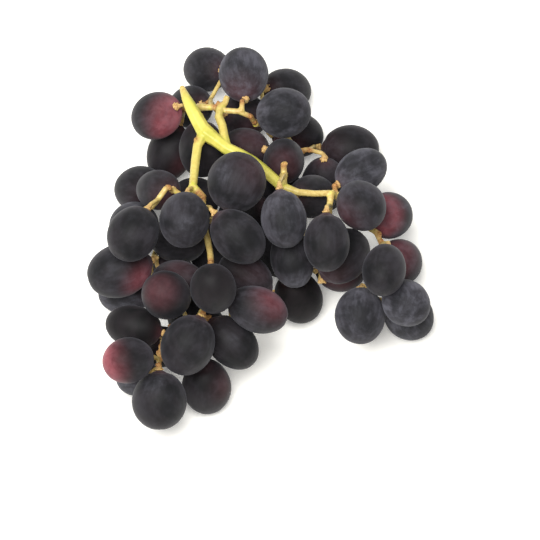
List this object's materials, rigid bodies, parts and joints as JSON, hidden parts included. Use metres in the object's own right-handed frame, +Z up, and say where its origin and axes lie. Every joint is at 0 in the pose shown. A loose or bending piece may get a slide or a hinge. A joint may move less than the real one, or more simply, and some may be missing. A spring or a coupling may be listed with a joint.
{
  "type": "bunch of grapes",
  "caption": "Picked bunch of large oval black table grapes lying on its side, with its branching stem showing between the berries.",
  "frame": {"origin": "on the surface that the bunch lies on, under the middle of its bounding box", "axes": "+Z up; +Y along the bunch towards the cut end of its stem; +X across the bunch, to the right as seen from its front"},
  "size_m": [0.1506, 0.1936, 0.0714],
  "materials": {
    "skin": "waxy black-purple grape skin with a pale bloom and red patches",
    "stem": "smooth yellow-green stalk with brown knots"
  },
  "bodies": {
    "root": {"berry_01": "skin", "berry_02": "skin", "berry_03": "skin", "berry_04": "skin", "berry_05": "skin", "berry_06": "skin", "berry_07": "skin", "berry_08": "skin", "berry_09": "skin", "berry_10": "skin", "berry_11": "skin", "berry_12": "skin", "berry_13": "skin", "berry_14": "skin", "berry_15": "skin", "berry_16": "skin", "berry_17": "skin", "berry_18": "skin", "berry_19": "skin", "berry_20": "skin", "berry_21": "skin", "berry_22": "skin", "berry_23": "skin", "berry_24": "skin", "berry_25": "skin", "berry_26": "skin", "berry_27": "skin", "berry_28": "skin", "berry_29": "skin", "berry_30": "skin", "berry_31": "skin", "berry_32": "skin", "berry_33": "skin", "berry_34": "skin", "berry_35": "skin", "berry_36": "skin", "berry_37": "skin", "berry_38": "skin", "berry_39": "skin", "berry_40": "skin", "berry_41": "skin", "berry_42": "skin", "berry_43": "skin", "berry_44": "skin", "berry_45": "skin", "berry_46": "skin", "berry_47": "skin", "berry_48": "skin", "berry_49": "skin", "berry_50": "skin", "berry_51": "skin", "berry_52": "skin", "berry_53": "skin", "berry_54": "skin", "berry_55": "skin", "berry_56": "skin", "berry_57": "skin", "berry_58": "skin", "berry_59": "skin", "stem": "stem"}
  },
  "joints": []
}
